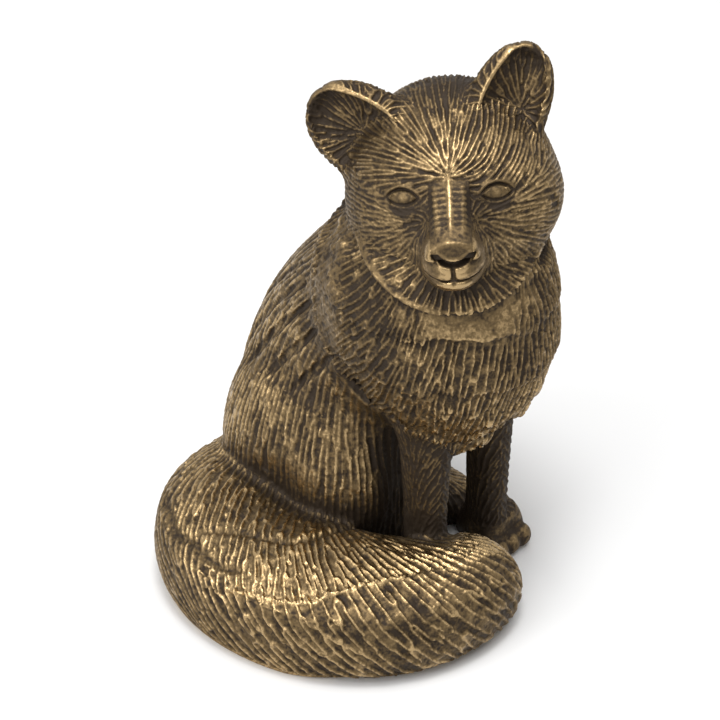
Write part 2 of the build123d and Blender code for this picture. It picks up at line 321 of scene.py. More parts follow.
def level_set(node):
    """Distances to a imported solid, on the sculpting grid."""
    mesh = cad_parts[node].data
    mesh.calc_loop_triangles()
    points = np.empty(len(mesh.vertices) * 3, np.float32)
    mesh.vertices.foreach_get("co", points)
    corners = np.empty(len(mesh.loop_triangles) * 3, np.int32)
    mesh.loop_triangles.foreach_get("vertices", corners)
    return vdb.FloatGrid.createLevelSetFromPolygons(
        points.reshape(-1, 3) / MM,
        triangles=corners.reshape(-1, 3).astype(np.uint32),
        transform=vdb.createLinearTransform(voxelSize=VOXEL),
        halfWidth=BAND / VOXEL,
    )


level_sets = {node: level_set(node) for node in BLENDS}


def node_box(node):
    low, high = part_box(node)
    return np.array(low) / MM, np.array(high) / MM


def grid_sample(array, index, part, wrap):
    """Values between the grid points of an array, by linear steps."""
    total = 0.0
    for corner in range(8):
        step = np.array([(corner >> axis) & 1 for axis in range(3)])
        weight = np.prod(np.where(step, part, 1.0 - part), axis=1)
        spot = (index + step) % wrap
        total = total + weight * array[spot[:, 0], spot[:, 1], spot[:, 2]]
    return total


def lattice_noise(points, scale, seed):
    """Soft random values from 0 to 1 that change over the given length."""
    size = 32
    table = np.random.default_rng(seed).random((size, size, size))
    place = points / scale
    index = np.floor(place).astype(int)
    part = place - index
    return grid_sample(table, index, part * part * (3.0 - 2.0 * part), size)


def roughness(points, layers):
    """Random offsets to either side, summed over layers."""
    return sum(height * (lattice_noise(points, scale, seed) - 0.5) for height, scale, seed in layers)


def sample(array, origin, voxel, points):
    """Values of a grid array at points."""
    place = np.clip((points - origin) / voxel, 0.0, np.array(array.shape) - 1.001)
    index = place.astype(int)
    return grid_sample(array, index, place - index, np.array(array.shape))


def blurred(array, reach):
    """Each value averaged with those up to a number of grid steps away, twice along each axis."""
    for axis in (0, 1, 2, 0, 1, 2):
        padding = [(0, 0)] * 3
        padding[axis] = (reach + 1, reach)
        sums = np.cumsum(np.pad(array, padding, mode="edge"), axis=axis, dtype=np.float64)
        count = array.shape[axis]
        high = np.take(sums, np.arange(count) + 2 * reach + 1, axis)
        low = np.take(sums, np.arange(count), axis)
        array = ((high - low) / (2 * reach + 1)).astype(np.float32)
    return array


def tail_axes(points):
    """Nearest place on the tail's route: run along it, place outward of it and the way it goes there."""
    starts, ends = TAIL_ROUTE[:-1], TAIL_ROUTE[1:]
    spans = ends - starts
    lengths = np.linalg.norm(spans, axis=1)
    before = np.concatenate([[0.0], np.cumsum(lengths)])
    best = np.full(len(points), np.inf)
    run = np.zeros(len(points))
    outward = np.zeros(len(points))
    for start, span, length, reached in zip(starts, spans, lengths, before):
        offset = points[:, :2] - start
        t = np.clip((offset @ span) / length**2, 0.0, 1.0)
        gap = np.linalg.norm(offset - t[:, None] * span, axis=1)
        side = np.sign(offset[:, 0] * span[1] - offset[:, 1] * span[0])
        closer = gap < best
        best = np.where(closer, gap, best)
        run = np.where(closer, reached + t * length, run)
        outward = np.where(closer, gap * side, outward)
    middles = (before[:-1] + before[1:]) / 2
    ways = spans / lengths[:, None]
    way = np.stack([np.interp(run, middles, ways[:, axis]) for axis in range(2)], axis=1)
    return run, outward, unit(way)


def beard_share(left, up):
    """1 on the edge of the beard's oval, less inside it."""
    across = (left - BEARD_MIDDLE[0]) / BEARD_SIZE[0]
    return across**2 + ((up - BEARD_MIDDLE[1]) / BEARD_SIZE[1]) ** 2


def reshape(node, change):
    """Works a change into a casting's distances, near its surface."""
    low, high = node_box(node)
    first = np.floor((low - RESHAPE_REACH) / VOXEL).astype(int)
    last = np.ceil((high + RESHAPE_REACH) / VOXEL).astype(int)
    array = np.empty(last - first + 1, np.float32)
    corner = tuple(int(i) for i in first)
    level_sets[node].copyToArray(array, ijk=corner)
    near = np.nonzero(np.abs(array) < RESHAPE_REACH)
    places = (np.stack(near, axis=1) + first) * VOXEL
    array[near] = change(array, near, places, first * VOXEL)
    level_sets[node].copyFromArray(array, ijk=corner)


def tousled(array, near, places, origin):
    """The mane with soft, uneven tiers, and the beard left as it is."""
    left, up, forward = head_axes(places)
    loose = np.where(forward > 0.0, smoothstep(1.0, 1.2, beard_share(left, up)), 1.0)
    moved = places + np.outer(roughness(places, TIER_EDGES) * loose, (0.0, 0.0, 1.0))
    soft = blurred(array, 3)
    soft = np.where(soft > array, array + 0.7 * (soft - array), array)
    return np.where(loose > 0.0, sample(soft, origin, VOXEL, moved), array[near])


def rounded(array, near, reach, weight):
    """Distances with outer edges rounded off where the weight is 1."""
    smooth = blurred(array, reach)[near]
    return array[near] + np.where(smooth > array[near], weight * (smooth - array[near]), 0.0)


def rounded_tail(array, near, places, origin):
    run = tail_axes(places)[0]
    return rounded(array, near, 7, smoothstep(*TAIL_END, run))


def rounded_skull(array, near, places, origin):
    forward = head_axes(places)[2]
    return rounded(array, near, 5, smoothstep(*SKULL_BACK, forward))


def rounded_ear(array, near, places, origin):
    spots = np.array(head_axes(places)).T
    away = np.minimum.reduce([np.linalg.norm(spots - tip, axis=1) for tip in EAR_TIPS.values()])
    return rounded(array, near, 3, smoothstep(*EAR_END, away))


reshape("mane", tousled)
reshape("tail", rounded_tail)
reshape("head", rounded_skull)
reshape("ear_left", rounded_ear)
reshape("ear_right", rounded_ear)


def finer(array, ratio):
    """The same values on a finer grid, by linear steps along each axis."""
    for axis in range(3):
        places = np.arange(0.0, array.shape[axis] - 1 - 1e-6, ratio)
        index = places.astype(int)
        shape = [1, 1, 1]
        shape[axis] = -1
        part = (places - index).astype(np.float32).reshape(shape)
        array = np.take(array, index, axis) * (1.0 - part) + np.take(array, index + 1, axis) * part
    return array


def bridge_axes(up, forward):
    """Run along the bridge of the nose from the brow, and height above it."""
    run = (forward - BROW_FORWARD) * BRIDGE_RUN[0] + (up - BROW_UP) * BRIDGE_RUN[1]
    height = -(forward - BROW_FORWARD) * BRIDGE_RUN[1] + (up - BROW_UP) * BRIDGE_RUN[0]
    return run, height


def bridge(out, run, height):
    """Distance to the bar along the bridge of the nose, with rounded edges."""
    beyond = out - (BRIDGE_HALF_WIDTH - BRIDGE_TAPER * np.clip(run, 0.0, 10.0) - BRIDGE_CORNER)
    above = height + BRIDGE_CORNER
    bar = np.hypot(np.maximum(beyond, 0.0), np.maximum(above, 0.0))
    bar = bar + np.minimum(np.maximum(beyond, above), 0.0) - BRIDGE_CORNER
    return smooth_max(bar, np.maximum(BRIDGE_ENDS[0] - run, run - BRIDGE_ENDS[1]), 1.6)


def eye_axes(out, up, forward):
    """Places round an eye: along it to the outside, up over it and out of it."""
    offset = np.stack([out, up, forward], axis=-1) - EYE_PLACE
    return offset @ EYE_ALONG, offset @ EYE_RISE, offset @ EYE_OUTWARD


def eye_lines(along, rise, outward):
    """The groove round an eye, the edge of its upper lid, and the eyeball: 1 in it, 0 beside it."""
    arch = np.clip(1.0 - (along / EYE_HALF_LENGTH) ** 2, 0.0, 1.0)
    edge = np.where(rise > 0.0, rise - UPPER_LID * arch, -rise - LOWER_LID * arch)
    window = smoothstep(3.0, 2.4, np.abs(along)) * smoothstep(1.1, 0.8, np.abs(outward))
    rim = smoothstep(0.34, 0.08, np.abs(edge)) * window
    lid = bump(rise - UPPER_LID * arch - LID_EDGE, 0.3) * window * (rise > 0.0)
    share = 1.0 - (along / EYE_ROUND[0]) ** 2 - ((rise - 0.1) / EYE_ROUND[1]) ** 2
    return rim, lid, np.clip(share, 0.0, 1.0) * window


def eye(value, out, up, forward):
    """Eyeball, lids and the groove between, in place of the plain ball."""
    value = smooth_max(value, -ellipsoid(out, up, forward, *EYE_BALL), 0.3)
    along, rise, outward = eye_axes(out, up, forward)
    wide = np.hypot(along, rise + 0.4)
    plug = smooth_max(outward + 0.1 + 0.04 * wide**2, wide - EYE_PLUG_RADIUS, 0.8)
    value = smooth_min(value, plug, 0.8)
    rim, lid, ball = eye_lines(along, rise, outward)
    return value + EYE_GROOVE_DEPTH * rim - LID_HEIGHT * lid - EYE_HEIGHT * ball


def muzzle_lines(left, up, forward):
    """Where the nostrils lie, and where the lips part: 1 in the line, 0 beside it."""
    out = np.abs(left)
    front = smoothstep(*MUZZLE_FRONT, forward)
    ring = np.hypot(left - NOSTRIL_MIDDLE[0], up - NOSTRIL_MIDDLE[1]) - NOSTRIL_RADIUS
    nostril = smoothstep(0.65, 0.35, np.abs(ring)) * smoothstep(0.5, 0.0, up)
    nostril = nostril * smoothstep(16.6, 17.2, forward)
    parting = 0.8 * smoothstep(0.42, 0.1, out) * smoothstep(-5.4, -4.8, up)
    parting = parting * smoothstep(-1.6, -2.3, up) * front
    mouth = smoothstep(0.28, 0.06, np.abs(up - MOUTH_UP - MOUTH_CURVE * left**2))
    mouth = mouth * smoothstep(4.4, 3.6, out) * front
    return nostril, np.maximum(parting, mouth)


def snout(left, up, forward):
    """Rough distance to the blunt end of the muzzle, narrower at the lower lip."""
    width = SNOUT_HALF_WIDTH - 1.0 * smoothstep(-4.2, -5.6, up)
    along = np.maximum((forward - SNOUT_BACK) / SNOUT_LENGTH, 0.0)
    share = (left / width) ** 2 + along**2 + ((up - SNOUT_UP) / SNOUT_HALF_HEIGHT) ** 6
    return 3.0 * (np.sqrt(share) - 1.0) + 3.0 * (forward < SNOUT_BACK)


def muzzle(value, left, up, forward):
    """The muzzle cut to a round end, filled out to blunt lips, with the nose pad set on it."""
    width = MUZZLE_HALF_WIDTH + MUZZLE_FLARE * smoothstep(17.5, 15.0, forward)
    round_end = np.hypot(left / width, (forward - SNOUT_BACK) / MUZZLE_LENGTH)
    kept = smoothstep(-1.4, 0.2, up) + smoothstep(-6.0, -7.0, up)
    spare = 3.0 * np.minimum(round_end - 1.0, 1.0) - 4.0 * kept
    value = np.where(forward > MUZZLE_BACK, smooth_max(value, spare, 0.5), value)
    value = smooth_min(value, snout(left, up, forward), 0.8)
    across, rise = (left - NOSE_MIDDLE[0]) / NOSE_SIZE[0], (up - NOSE_MIDDLE[1]) / NOSE_SIZE[1]
    lens = (np.hypot(across, rise) - 1.0) * NOSE_SIZE[1]
    nose = smooth_max(smooth_max(lens, NOSE_ENDS[0] - forward, 0.5), forward - NOSE_ENDS[1], 0.4)
    return smooth_max(smooth_min(value, nose, 0.5), forward - MUZZLE_REACH, 0.3)


def face(value, left, up, forward):
    """Muzzle, nose, mouth and eyes worked into the plain head."""
    out = np.abs(left)
    value = smooth_max(value, -ellipsoid(out, up, forward, *CHEEK_HOLLOW), 2.4)
    value = smooth_max(value, -ellipsoid(out, up, forward, *EYE_HOLLOW), 1.4)
    value = eye(value, out, up, forward)
    run, height = bridge_axes(up, forward)
    value = smooth_min(value, bridge(out, run, height), 0.8)
    value = muzzle(value, left, up, forward)
    lips = LIP_HEIGHT * dome(out, up, *LIP_LOBE) + CHIN_HEIGHT * dome(left, up, *CHIN_LOBE)
    value = value - smoothstep(*MUZZLE_FRONT, forward) * lips
    nostril, lines = muzzle_lines(left, up, forward)
    value = value + NOSTRIL_DEPTH * nostril + MOUTH_DEPTH * lines
    crest = bump(left, 0.32) * smoothstep(-0.9, -0.2, height)
    crest = crest * smoothstep(-0.5, 0.5, run) * smoothstep(9.0, 8.0, run)
    return value - BRIDGE_CREST * crest


def swelling(left, up, forward, middle, spread):
    """Fullness of a place: 1 in its middle, 0 away from it."""
    sideways, upward = (left - middle[0]) / spread[0], (up - middle[1]) / spread[1]
    return np.exp(-(sideways**2) - upward**2 - ((forward - middle[2]) / spread[2]) ** 2)


def ear_cup(node, left, up, forward):
    """Rough distance to the upper end of an ear's cup."""
    axis = unit(EAR_TIPS[node] - EAR_BASES[node])
    across = unit(np.cross(axis, (0.0, 0.0, 1.0)))
    front = np.cross(across, axis)
    offset = np.stack([left, up, forward], axis=-1) - EAR_BASES[node]
    return ellipsoid(offset @ axis, offset @ across, offset @ front, EAR_CUP_PLACE, EAR_CUP_SIZES[node])


class Block:
    """A box of the sculpting grid with the distance to every casting and to the whole figure."""

    def __init__(self, low, high, voxel):
        first = np.floor(low / VOXEL).astype(int)
        last = np.ceil(high / VOXEL).astype(int)
        shape = last - first + 1
        self.origin = first * VOXEL
        self.voxel = voxel
        self.parts = {}
        for node, grid in level_sets.items():
            array = np.empty(shape, np.float32)
            grid.copyToArray(array, ijk=tuple(int(i) for i in first))
            if float(array.min()) < BAND - 0.01:
                self.parts[node] = finer(array, voxel / VOXEL)
        self.whole = None
        for node, radius in BLENDS.items():
            if node in self.parts:
                array = self.parts[node]
                self.whole = array.copy() if self.whole is None else smooth_min(self.whole, array, radius)
        self.sculpt()

    def sculpt(self):
        """Face, full cheek and crown, and deep ear cups; flat on the ground."""
        near = np.nonzero(np.abs(self.whole) < SCULPT_REACH)
        points = np.stack(near, axis=1) * self.voxel + self.origin
        value = self.whole[near].astype(float)
        left, up, forward = head_axes(points)
        in_face = (forward > FACE_BACK) & (up > FACE_LOW)
        value = np.where(in_face, face(value, left, up, forward), value)
        for middle, spread, height in SWELLINGS:
            value = value - height * swelling(left, up, forward, middle, spread)
        for node in EAR_BASES:
            value = smooth_max(value, -ear_cup(node, left, up, forward), 0.5)
        self.whole[near] = value
        heights = self.origin[2] + np.arange(self.whole.shape[2]) * self.voxel
        self.whole = np.maximum(self.whole, -heights.astype(np.float32))

    def seam(self, node):
        """Distance past the middle between a casting and the nearest other one."""
        others = [array for name, array in self.parts.items() if name != node]
        return (self.parts[node] - np.minimum.reduce(others)) * 0.5

    def sample(self, array, points):
        return sample(array, self.origin, self.voxel, points)

    def slope(self, points):
        """Outward direction of the figure's surface near points."""
        reach = 0.5
        slopes = []
        for step in np.eye(3) * reach:
            ahead = self.sample(self.whole, points + step)
            slopes.append(ahead - self.sample(self.whole, points - step))
        return unit(np.stack(slopes, axis=1))

    def openness(self, points, normals):
        """How freely the surface looks out: 1 in the open, 0 in a deep crease."""
        total = 0.0
        reaches = (0.8, 1.8, 3.6, 5.5)
        for reach in reaches:
            seen = self.sample(self.whole, points + normals * reach)
            total = total + np.clip(seen / reach, 0.0, 1.0)
        return total / len(reaches)

    def bulge(self, points):
        """How sharply the surface bends outward: 0 where it is flat or hollow."""
        reach = 0.9
        total = -6.0 * self.sample(self.whole, points)
        for step in np.eye(3) * reach:
            total = total + self.sample(self.whole, points + step) + self.sample(self.whole, points - step)
        return np.clip(total / reach**2, 0.0, 2.0)


def surface(array, origin, voxel):
    """Points and quads of the zero surface of a grid array."""
    grid = vdb.FloatGrid(float(BAND))
    grid.copyFromArray(np.ascontiguousarray(array))
    points, quads = grid.convertToQuads(isovalue=0.0)
    points = np.asarray(points, float) * voxel + origin
    quads = np.asarray(quads, np.int32)[:, ::-1]
    return points, quads


class Casting:
    """One casting's mesh while it is being chased."""

    def __init__(self, node):
        self.node = node
        low, high = node_box(node)
        voxel = FINE_VOXEL if node in FINE_PIECES else PLAIN_VOXEL
        block = Block(low - BOX_MARGIN, high + BOX_MARGIN, voxel)
        seam = block.seam(node)
        self.points, self.quads = surface(np.maximum(block.whole, seam - SEAM_OVERLAP), block.origin, voxel)
        self.normals = block.slope(self.points)
        self.outside = smoothstep(-0.12, -0.04, block.sample(block.whole, self.points))
        self.openness = block.openness(self.points, self.normals)
        self.bulge = block.bulge(self.points)
        self.sink = SEAM_SINK * smoothstep(-0.05, 0.25, block.sample(seam, self.points))
        far = np.full(len(self.points), BAND)
        self.to_mane = block.sample(block.parts["mane"], self.points) if "mane" in block.parts else far


castings = [Casting(node) for node in BLENDS]


def joined(name):
    """One value of every casting, casting after casting."""
    return np.concatenate([getattr(casting, name) for casting in castings])


# Everything that strokes are laid on
points = joined("points")
normals = joined("normals")
outside = joined("outside")
openness = joined("openness")
bulge = joined("bulge")
to_mane = joined("to_mane")
sink = joined("sink")
piece_names = np.concatenate([np.full(len(casting.points), casting.node) for casting in castings])
left, up, forward = head_axes(points)
x, y, z = points.T
out = np.abs(left)
bridge_run, bridge_height = bridge_axes(up, forward)
eye_along, eye_rise, eye_outward = eye_axes(out, up, forward)
tail_run, tail_out, tail_way = tail_axes(points)
tail_top = smoothstep(*TAIL_TOP_EDGE, normals[:, 2])

is_head = piece_names == "head"
is_ear = (piece_names == "ear_left") | (piece_names == "ear_right")
is_mane = piece_names == "mane"
is_tail = piece_names == "tail"
is_foreleg = (piece_names == "foreleg_left") | (piece_names == "foreleg_right")
is_haunch = (piece_names == "haunch_left") | (piece_names == "haunch_right")
is_body = (piece_names == "trunk") | is_haunch
in_beard = beard_share(left, up)
is_beard = is_mane & (in_beard < 1.0) & (forward > 0.0)
ones, zeros = np.ones(len(points)), np.zeros(len(points))


def along_surface(vectors, normals):
    """Directions laid flat on the surface."""
    return unit(vectors - np.sum(vectors * normals, axis=1, keepdims=True) * normals)


def body_flow():
    """Down, and leaning back higher up."""
    return np.stack([zeros, BODY_LEAN * smoothstep(*BODY_LEAN_HEIGHTS, z), -ones], axis=1)


def mane_flow():
    """Down, and leaning back more towards the shoulders."""
    lean = MANE_LEAN + MANE_LEAN_GROWTH * smoothstep(*MANE_LEAN_BACK, y)
    return np.stack([zeros, lean, -ones], axis=1)


def beard_flow():
    """Away from the chin."""
    return points - HEAD_CENTRE - from_head(CHIN)


def head_flow():
    """Away from the brow on the forehead, away from the muzzle on the cheeks, and down on the nape."""
    brow = HEAD_CENTRE + from_head((0.0, BROW_UP, BROW_FORWARD))
    cheek = HEAD_CENTRE + np.sign(left)[:, None] * CHEEK_OUT * HEAD_LEFT + from_head(CHEEK_FUR)
    on_forehead = smoothstep(*FOREHEAD_EDGE, up + 0.1 * forward)[:, None]
    upright = (FOREHEAD_UPRIGHT * smoothstep(*FOREHEAD_UPRIGHT_LEFT, left))[:, None]
    fan = unit(points - brow) * (1.0 - upright) + HEAD_UP * upright
    nape = smoothstep(*NAPE_BACK, forward)[:, None] * NAPE_FALL
    return fan * on_forehead + unit(points - cheek) * (1.0 - on_forehead) + nape


def ear_flow():
    """Out of the foot of each ear's cup."""
    ways = np.zeros_like(points)
    for node, cup in EAR_CUPS.items():
        chosen = piece_names == node
        ways[chosen] = points[chosen] - HEAD_CENTRE - from_head(cup)
    return ways


def leg_flow():
    """Down, and outward from the middle of each foreleg."""
    leg_side = np.sign(x - np.sign(x) * FORELEG_SPREAD)
    return np.stack([LEG_LEAN * leg_side, zeros, -ones], axis=1)


def tail_flow():
    """Along the tail, slanting outward and down, more so on its top and towards its tip."""
    outward = np.stack([tail_way[:, 1], -tail_way[:, 0]], axis=1)
    along = np.concatenate([tail_way, zeros[:, None]], axis=1)
    across = along_surface(np.concatenate([outward, -ones[:, None]], axis=1), normals)
    growth = TAIL_SLANT_GROWTH * smoothstep(*TAIL_SLANT_RUN, tail_run)
    slant = np.radians(TAIL_SLANT + growth + TAIL_TOP_SLANT * tail_top)
    return along * np.cos(slant)[:, None] + across * np.sin(slant)[:, None]


# The way the fur lies on each casting
flow = np.zeros_like(points)
for chosen, way in (
    (is_head, head_flow()),
    (is_ear, ear_flow()),
    (is_mane, mane_flow()),
    (is_beard, beard_flow()),
    (is_tail, tail_flow()),
    (is_foreleg, leg_flow()),
    (is_body, body_flow()),
):
    flow[chosen] = way[chosen]
flow = along_surface(flow, normals)

# Places kept free of strokes: 1 where bare, 0 where furred
on_show = (outside > 0.5) & ~((z < 0.6) & (normals[:, 2] < -0.5))
on_bridge = is_head & (bridge_height > -2.2) & (out < 3.0) & (bridge_run > 0.5)
on_nose = is_head & (forward > 15.5) & (up < 1.9)
furred = is_head & ~on_bridge & ~on_nose
eye_oval = np.hypot(eye_along / 2.8, (eye_rise - 0.15) / 1.65)
bare_eye = is_head * smoothstep(1.12, 0.96, eye_oval) * (np.abs(eye_outward) < 3.0)
ear_side = np.zeros(len(points))
for node, base in EAR_BASES.items():
    axis = EAR_TIPS[node] - base
    side = ((left - base[0]) * axis[1] - (up - base[1]) * axis[0]) / np.hypot(axis[0], axis[1])
    ear_side = np.where(piece_names == node, side, ear_side)
left_rubbed, right_rubbed = smoothstep(1.0, -1.5, ear_side), smoothstep(-1.5, 1.0, ear_side)
rubbed = np.where(piece_names == "ear_left", left_rubbed, right_rubbed)
ear_rim = is_ear * smoothstep(0.7, 1.05, bulge) * rubbed
near_side = smoothstep(-5.0, -9.0, x)
channel = 0.7 * is_body * smoothstep(3.4, 1.8, to_mane) * smoothstep(34.0, 37.0, z) * near_side
neck_channel = 0.7 * is_mane * smoothstep(-15.5, -13.5, y) * smoothstep(-7.5, -9.0, y)
neck_channel = neck_channel * smoothstep(44.0, 47.0, z) * near_side
uneven = roughness(points, BAND_EDGES)
chest_band = is_mane * smoothstep(54.2, 56.0, z + 0.12 * left + 2.0 * uneven)
chest_band = chest_band * smoothstep(1.0, 1.08, in_beard) * smoothstep(3.0, 6.0, forward)
chest_band = chest_band * smoothstep(13.0, 3.0, np.abs(left - 1.5) + 8.0 * uneven)
beard_edge = is_beard * smoothstep(0.80, 0.88, in_beard) * smoothstep(-1.0, -4.0, left)
bare = np.maximum.reduce([bare_eye, ear_rim, channel, neck_channel, chest_band, beard_edge])

# Kinds of stroke: where, gap between rows, length, depth, width of the ridge between two, and of its slopes
ragged = roughness(points, KIND_EDGES)
forehead_end = up + 1.2 * ragged
behind = forward + 5.0 * ragged < HEAD_BACK
on_crown = (forehead_end >= FOREHEAD_TOP) | behind
on_cheek = furred & (up <= FOREHEAD_LOW) & ~behind
ridge_runs, ridge_places = np.array(TAIL_RIDGE).T
below_ridge = tail_out > np.interp(tail_run, ridge_runs, ridge_places) + 1.2 * ragged
tail_streaks = is_tail & (tail_run + 6.0 * ragged < STREAKS_END)
tail_streaks = tail_streaks & ((tail_out > STREAKS_OUT) | (tail_top <= 0.5))
KINDS = {
    "forehead": (furred & (up > FOREHEAD_LOW) & ~on_crown, 0.85, 6.0, 0.34, 0.16, 0.4),
    "crown": (furred & on_crown, 0.95, 4.5, 0.32, 0.06, 0.5),
    "left_cheek": (on_cheek & (left > 0.0), 0.95, 3.6, 0.26, 0.06, 0.5),
    "right_cheek": (on_cheek & (left <= 0.0), 0.9, 2.4, 0.2, 0.1, 0.5),
    "ear": (is_ear, 1.1, 4.5, 0.34, 0.08, 0.5),
    "beard": (is_beard, 1.2, 4.2, 0.34, 0.1, 0.45),
    "mane": (is_mane & ~is_beard, 1.2, 5.0, 0.44, 0.1, 0.5),
    "body": (is_body, 1.3, 9.0, 0.34, 0.2, 0.6),
    "foreleg": (is_foreleg & (z > PAW_TOP), 1.1, 4.0, 0.28, 0.08, 0.5),
    "tail_streaks": (tail_streaks, 1.5, 9.0, 0.3, 0.15, 0.6),
    "tail_top": (is_tail & ~below_ridge & ~tail_streaks, 1.4, 4.6, 0.42, 0.16, 0.6),
    "tail_side": (is_tail & below_ridge & ~tail_streaks, 1.9, 6.5, 0.5, 0.16, 0.5),
}


def crowding(batch, kept, gap, length):
    """Which kept seeds lie too near each of the batch: near across the fur, or not far along it."""
    here, there = points[batch], points[kept]
    along = flow[batch] @ there.T - np.sum(here * flow[batch], axis=1)[:, None]
    lift = normals[batch] @ there.T - np.sum(here * normals[batch], axis=1)[:, None]
    apart = np.sum(here**2, axis=1)[:, None] + np.sum(there**2, axis=1)[None] - 2.0 * here @ there.T
    across = np.maximum(apart - along**2 - lift**2, 0.0)
    return (along / length) ** 2 + across / gap**2 + (lift / (gap * 2.5)) ** 2 < 1.0


def scatter(chosen, gap, length):
    """Seeds spread evenly, close together across the fur and far apart along it."""
    spots = draws.permutation(np.nonzero(chosen)[0])[:TRIES]
    kept = np.empty(0, int)
    for start in range(0, len(spots), BATCH):
        batch = spots[start : start + BATCH]
        if len(kept):
            batch = batch[~crowding(batch, kept, gap, length).any(axis=1)]
        order = []
        crowd = crowding(batch, batch, gap, length)
        for index in range(len(batch)):
            if not crowd[index, order].any():
                order.append(index)
        kept = np.concatenate([kept, batch[order]])
    return kept


def nearest_finder(spots):
    """A search tree over places."""
    tree = kdtree.KDTree(len(spots))
    for number, spot in enumerate(spots):
        tree.insert(spot, number)
    tree.balance()
    return tree


def half_stroke(seed, way, direction, steps, spots, finder):
    """Steps over the surface from a seed to one end of its stroke: place, way and share of its depth."""
    place = points[seed].copy()
    for number in range(steps + 1):
        yield place, way, math.sqrt(max(0.0, 1.0 - (number / (steps + 0.5)) ** 2))
        place = place + way * STEP
        index, away = finder.find(place)[1:]
        if away > LOST:
            break
        spot = spots[index]
        place = place - normals[spot] * ((place - points[spot]) @ normals[spot])
        way = unit(way * 0.5 + (flow[spot] * direction) * 0.5)


def lay_strokes(chosen, gap, length, depth):
    """Steps along all strokes of a kind: places, ways and depths."""
    spots = np.nonzero(chosen)[0][::THINNING]
    finder = nearest_finder(points[spots])
    samples, ways, depths = [], [], []
    for seed in scatter(chosen, gap * GAP_SHARE, length * LENGTH_SHARE):
        steps = int(length * draws.uniform(*REACH_SHARES) / STEP)
        strength = draws.uniform(*STRENGTHS)
        sway = draws.normal(0.0, SWAY) * np.cross(normals[seed], flow[seed])
        for direction in (1.0, -1.0):
            heading = unit(flow[seed] + sway) * direction
            for place, way, taper in half_stroke(seed, heading, direction, steps, spots, finder):
                samples.append(place)
                ways.append(way)
                depths.append(depth * strength * taper)
    return np.array(samples), np.array(ways), np.array(depths)


def cut_depths(members, strokes, gap, ridge, slope):
    """How deep strokes cut each point: all but a thin ridge halfway to the next stroke."""
    samples, ways, depths = strokes
    finder = nearest_finder(samples)
    index = np.array([[near[1] for near in finder.find_n(points[member], NEAR)] for member in members])
    offset = points[members][:, None] - samples[index]
    along = np.einsum("mki,mki->mk", offset, ways[index])
    aside = np.sqrt(np.maximum(np.sum(offset**2, axis=2) - along**2, 0.0))
    away = np.hypot(aside, np.maximum(np.abs(along) - STEP * 0.5, 0.0))
    first = np.take_along_axis(index, np.argmin(away, axis=1)[:, None], 1)
    apart = samples[index] - samples[first]
    beside = apart - np.einsum("mki,mki->mk", apart, ways[first])[:, :, None] * ways[first]
    own = np.linalg.norm(beside, axis=2) < SAME_LINE * gap
    nearest = away.min(axis=1)
    other = np.where(own, away.max(axis=1)[:, None], away).min(axis=1)
    depth = depths[index] * smoothstep(STEP * 1.6, STEP * 0.5, np.abs(along))
    cut = np.where(own, depth, 0.0).max(axis=1)
    return cut * smoothstep(ridge, ridge + slope, other - nearest) * smoothstep(1.1, 0.8, nearest / gap)


groove = np.zeros(len(points))
carve = np.zeros(len(points))
for chosen, gap, length, depth, ridge, slope in KINDS.values():
    shown = chosen & on_show
    members = np.nonzero(shown)[0]
    cut = cut_depths(members, lay_strokes(shown, gap, length, depth), gap, ridge, slope)
    carve[members] = cut
    groove[members] = cut / depth
carve, groove = carve * (1.0 - bare), groove * (1.0 - bare)

# Short ticks across the bridge of the nose, on either side of its bright line
tick_place = (bridge_run + 0.1 * (out - 1.5) ** 2) / TICK_PITCH
ticks = smoothstep(-0.2, 0.7, np.cos(2.0 * math.pi * tick_place))
ticks = ticks * smoothstep(0.35, 0.7, out) * smoothstep(3.0, 2.5, out) * on_bridge
ticks = ticks * smoothstep(0.8, 1.4, bridge_run) * smoothstep(8.6, 8.0, bridge_run)
carve = np.maximum(carve, TICK_DEPTH * ticks)
groove = np.maximum(groove, TICK_TONE * ticks)

# Dark lines of nostrils, lips and eyes
nostril, lip_lines = muzzle_lines(left, up, forward)
eye_rim, eye_lid, eye_ball = eye_lines(eye_along, eye_rise, eye_outward)
face_lines = np.maximum.reduce([groove, nostril, 0.8 * lip_lines, 0.7 * eye_rim])
groove = np.where(is_head, face_lines, groove)


def line_distance(run, outward, line):
    """Distance from places on the tail to a line over it."""
    best = np.full(len(run), np.inf)
    for start, end in zip(line[:-1], line[1:]):
        span = np.subtract(end, start)
        ahead, aside = run - start[0], outward - start[1]
        t = np.clip((ahead * span[0] + aside * span[1]) / (span @ span), 0.0, 1.0)
        best = np.minimum(best, np.hypot(ahead - t * span[0], aside - t * span[1]))
    return best


# Locks of the tail: two creases and a crooked ridge
on_tail = is_tail * smoothstep(0.0, 0.3, normals[:, 2])
crease = bump(line_distance(tail_run, tail_out, TAIL_CREASE), 0.6)
tuft = bump(line_distance(tail_run, tail_out, TAIL_TUFT), 0.6)
creases = np.maximum(crease, 0.8 * tuft) * on_tail
waver = roughness(points, RIDGE_WAVER)
crest = bump(line_distance(tail_run, tail_out + waver, TAIL_RIDGE), 0.4) * on_tail
carve = carve + 0.45 * creases - 0.3 * crest
groove = np.maximum(groove * (1.0 - crest), creases)

# Rough cast skin, with fine dark pits
skin = roughness(points, CAST_SKIN)
pits = smoothstep(0.58, 0.8, lattice_noise(points, PIT_LENGTH, PIT_SEED))
smooth_skin = np.maximum(ear_rim, on_nose)
rough = np.where(on_show, 1.0 - smooth_skin, 0.0) * np.where(is_head, 0.6, 1.0)
carve = carve + rough * (0.12 * skin + 0.06 * pits) + sink

